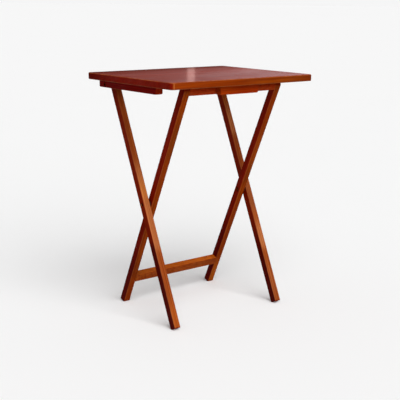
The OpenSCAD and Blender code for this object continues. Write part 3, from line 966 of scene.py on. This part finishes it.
class TRAYTABLE_OT_make_bolts(bpy.types.Operator):
    """Models the domed socket bolts of the crossings and of the hangers"""
    bl_idname = "tray_table.make_bolts"
    bl_label = "Make the Pivot Bolts"

    def execute(self, context):
        fittings = context.scene.tray_table_fittings
        steel = plated_steel("Bronzed bolts in painted shade", context.scene.tray_table_finish.bronze_and_shade_tone)
        for pivots in PIVOTS:
            node = pivots["name"] + "_bolts"
            low, high = right_half(node)
            pattern = self.bolt((high.z - low.z) / 2, high.x - low.x, fittings)
            seat = high.x - fittings.head_rise
            set_pair(pattern, "socket_" + node, seat, pivots, steel, node)
        return {"FINISHED"}

    @staticmethod
    def bolt(head_radius, run, fittings):
        """A bolt along Z: its head rises from the seat at 0, and its shank goes down from there."""
        shank = fittings.bolt_shank / 2
        root = shank - fittings.thread_depth
        rise = fittings.head_rise
        end = rise - run
        start = end + fittings.threaded_length
        chamfer = 0.0008
        lead = 0.0003
        runout = 0.0005
        neck = 0.0001
        rim = 0.0003
        crown = 0.0022
        stations = [(end, shank - chamfer)]
        stations += thread_stations(end + lead, start, fittings.thread_pitch, shank, root)
        stations += [(start + runout, shank), (-neck, shank), (0.0, head_radius * 0.93), (rim, head_radius)]
        dome_start = rise * 0.42
        steps = 8
        for i in range(steps):
            bend = QUARTER * i / steps
            height = dome_start + (rise - dome_start) * math.sin(bend)
            stations.append((height, head_radius * math.cos(bend)))
        stations.append((rise, crown))
        bolt = turned_part("bolt_pattern", stations, sides=48)
        cut(bolt, prism("socket_cutter", 6, fittings.socket_width / math.sqrt(3),
                        rise - fittings.socket_depth, rise + OVERCUT))
        smooth(bolt, degrees=32)
        return bolt


class TRAYTABLE_OT_make_nuts(bpy.types.Operator):
    """Models the chamfered nuts and the washers under them"""
    bl_idname = "tray_table.make_nuts"
    bl_label = "Make the Nuts and Washers"

    def execute(self, context):
        fittings = context.scene.tray_table_fittings
        steel = plated_steel("Bronzed nuts in painted shade", context.scene.tray_table_finish.bronze_and_shade_tone)
        for pivots in PIVOTS:
            node = pivots["name"] + "_nuts"
            low, high = right_half(node)
            pattern = self.nut(high.x - low.x, fittings)
            set_pair(pattern, pivots["name"] + "_chamfered_nuts", low.x, pivots, steel, node)
            set_rings("washers", pivots, fittings.washer_ease, fittings.nut_bore, steel)
        return {"FINISHED"}

    @staticmethod
    def nut(height, fittings):
        """A hexagon nut along Z with chamfered corners and a threaded bore."""
        corner = fittings.nut_flats / math.sqrt(3)
        end = fittings.nut_flats / 2 * 0.98
        middle = corner * 1.02
        chamfer = 0.0007
        nut = prism("nut_pattern", 6, corner, 0, height)
        stations = [(0, end), (chamfer, middle), (height - chamfer, middle), (height, end)]
        cut(nut, turned_part("nut_turning", stations, sides=72), "INTERSECT")
        bore = fittings.nut_bore / 2
        narrow = bore - fittings.thread_depth / 2
        stations = [(-OVERCUT, bore)]
        stations += thread_stations(0.0, height, fittings.thread_pitch, bore, narrow)
        stations += [(height + OVERCUT, bore)]
        cut(nut, turned_part("nut_bore", stations, sides=48))
        smooth(nut, degrees=28)
        return nut


class TRAYTABLE_OT_make_spacers(bpy.types.Operator):
    """Models the nylon spacers that keep the moving wooden parts apart"""
    bl_idname = "tray_table.make_spacers"
    bl_label = "Make the Spacers"

    def execute(self, context):
        fittings = context.scene.tray_table_fittings
        nylon = moulded_nylon("Moulded nylon")
        for pivots in PIVOTS:
            set_rings("spacers", pivots, fittings.spacer_ease, fittings.nut_bore, nylon)
        return {"FINISHED"}


class TRAYTABLE_OT_set_stage(bpy.types.Operator):
    """Sets the pale floor, the soft lamps, the world and the camera"""
    bl_idname = "tray_table.set_stage"
    bl_label = "Set the Stage"

    def execute(self, context):
        stage = context.scene.tray_table_stage
        context.scene.view_settings.view_transform = "Standard"
        self.lay_floor(stage)
        self.light_world(context.scene, stage)
        self.hang_lamps(stage)
        self.stand_camera(context.scene, stage)
        return {"FINISHED"}

    @staticmethod
    def lay_floor(stage):
        """A wide pale floor with a faint mottle, which throws back less light than it shows."""
        deselect_all()
        bpy.ops.mesh.primitive_plane_add(size=stage.floor_size)
        floor = bpy.context.object
        floor.name = "floor"
        material, tree, shader = new_material("Pale floor")
        coords = add_node(tree, "ShaderNodeTexCoord").outputs
        rays = add_node(tree, "ShaderNodeLightPath").outputs
        mottle = noise_of(tree, coords["Object"], 1.2)
        seen = blend_of(tree, mottle, opaque(stage.floor_tone, 0.995), opaque(stage.floor_tone))
        bounced = opaque(stage.floor_tone, stage.floor_bounce)
        feed(tree, shader, {
            "Base Color": blend_of(tree, rays["Is Diffuse Ray"], seen, bounced),
            "Roughness": 0.9,
            "Specular IOR Level": 0.0})
        floor.data.materials.append(material)

    @staticmethod
    def light_world(scene, stage):
        """An even light, and a paler background where the camera sees it, also mirrored or through glass."""
        world = bpy.data.worlds.new("Even light")
        world.use_nodes = True
        scene.world = world
        tree = world.node_tree
        tree.nodes.clear()
        white = (1, 1, 1, 1)
        rays = add_node(tree, "ShaderNodeLightPath").outputs
        seen = maths(tree, "MAXIMUM", rays["Is Camera Ray"],
                     maths(tree, "MAXIMUM", rays["Is Glossy Ray"], rays["Is Transmission Ray"]))
        light = add_node(tree, "ShaderNodeBackground", {"Color": white, "Strength": stage.world_light})
        back = add_node(tree, "ShaderNodeBackground", {"Color": white, "Strength": stage.backdrop_light})
        mixed = add_node(tree, "ShaderNodeMixShader", {0: seen, 1: light.outputs[0], 2: back.outputs[0]})
        add_node(tree, "ShaderNodeOutputWorld", {"Surface": mixed.outputs[0]})

    @staticmethod
    def hang_lamps(stage):
        """A high soft key and a low fill in front, and two lamps far behind that only the top mirrors."""
        sun("key", stage.key_strength, stage.key_spread, elevation=math.radians(43), turn=math.radians(-15))
        sun("fill", stage.fill_strength, stage.fill_spread, elevation=math.radians(14), turn=math.radians(-4))
        mirrored_lamp("strip", stage.strip_tone, stage.strip_power, stage.camera_place,
                      size=(0.036, 0.5), heading=math.radians(38.05), distance=4.5, right=0.0, up=0.24)
        panel = mirrored_lamp("panel", stage.panel_tone, stage.panel_power, stage.camera_place,
                              size=(3.6, 1.4), heading=math.radians(40), distance=5.8, right=1.25, up=0.538)
        panel.rotation_euler.rotate_axis("Z", stage.panel_slant)

    @staticmethod
    def stand_camera(scene, stage):
        """The camera, at the photograph's viewing angle."""
        bpy.ops.object.camera_add(location=stage.camera_place, rotation=stage.camera_turn)
        camera = bpy.context.object
        camera.name = "camera"
        camera.data.sensor_width = 36.0
        camera.data.lens = stage.camera_lens
        camera.data.clip_end = 200.0
        scene.camera = camera


def sun(name, energy, spread, elevation, turn):
    """A soft lamp far off in front, turned from straight ahead to the right."""
    deselect_all()
    bpy.ops.object.light_add(type="SUN", location=(0, -3, 3), rotation=(QUARTER - elevation, 0, turn))
    lamp = bpy.context.object
    lamp.name = name
    lamp.data.energy = energy
    lamp.data.angle = spread


def mirrored_lamp(name, colour, power, camera_place, size, heading, distance, right, up):
    """A lamp behind the table that is only seen mirrored in the lacquer of the top.

    heading and distance lead from the camera's foot, right and up from there, up being above the top.
    """
    deselect_all()
    bpy.ops.object.light_add(type="AREA")
    lamp = bpy.context.object
    lamp.name = name
    lamp.data.shape = "RECTANGLE"
    lamp.data.size, lamp.data.size_y = size
    lamp.data.energy = power
    lamp.data.color = colour
    lamp.visible_camera = False
    lamp.visible_diffuse = False
    ahead = Vector((math.sin(heading), math.cos(heading), 0))
    aside = Vector((math.cos(heading), -math.sin(heading), 0))
    foot = Vector((camera_place[0], camera_place[1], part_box("tabletop")[1].z))
    lamp.location = foot + ahead * distance + aside * right + Vector((0, 0, up))
    lamp.rotation_euler = ahead.to_track_quat("Z", "Y").to_euler()
    return lamp


OPERATORS = (
    TRAYTABLE_OT_finish_top, TRAYTABLE_OT_finish_battens, TRAYTABLE_OT_finish_legs, TRAYTABLE_OT_finish_rails,
    TRAYTABLE_OT_make_dowels, TRAYTABLE_OT_make_screws, TRAYTABLE_OT_make_bolts, TRAYTABLE_OT_make_nuts,
    TRAYTABLE_OT_make_spacers, TRAYTABLE_OT_set_stage)


class TRAYTABLE_PT_sidebar(bpy.types.Panel):
    """The steps that dress the tray table"""
    bl_idname = "TRAYTABLE_PT_sidebar"
    bl_label = "Tray Table"
    bl_space_type = "VIEW_3D"
    bl_region_type = "UI"
    bl_category = "Tray Table"

    def draw(self, context):
        for step in OPERATORS:
            self.layout.operator(step.bl_idname)


SETTINGS = {"tray_table_finish": TrayTableFinish, "tray_table_fittings": TrayTableFittings,
            "tray_table_stage": TrayTableStage}


def register():
    """Registers the settings, the operators and the panel."""
    for name, group in SETTINGS.items():
        bpy.utils.register_class(group)
        setattr(bpy.types.Scene, name, PointerProperty(type=group))
    for step in OPERATORS:
        bpy.utils.register_class(step)
    bpy.utils.register_class(TRAYTABLE_PT_sidebar)


def unregister():
    """Takes all of it out again."""
    bpy.utils.unregister_class(TRAYTABLE_PT_sidebar)
    for step in reversed(OPERATORS):
        bpy.utils.unregister_class(step)
    for name, group in reversed(SETTINGS.items()):
        delattr(bpy.types.Scene, name)
        bpy.utils.unregister_class(group)


def main():
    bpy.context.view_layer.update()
    register()
    bpy.ops.tray_table.finish_top()
    bpy.ops.tray_table.finish_battens()
    bpy.ops.tray_table.finish_legs()
    bpy.ops.tray_table.finish_rails()
    bpy.ops.tray_table.make_dowels()
    bpy.ops.tray_table.make_screws()
    bpy.ops.tray_table.make_bolts()
    bpy.ops.tray_table.make_nuts()
    bpy.ops.tray_table.make_spacers()
    bpy.ops.tray_table.set_stage()


if __name__ == "__main__":
    main()
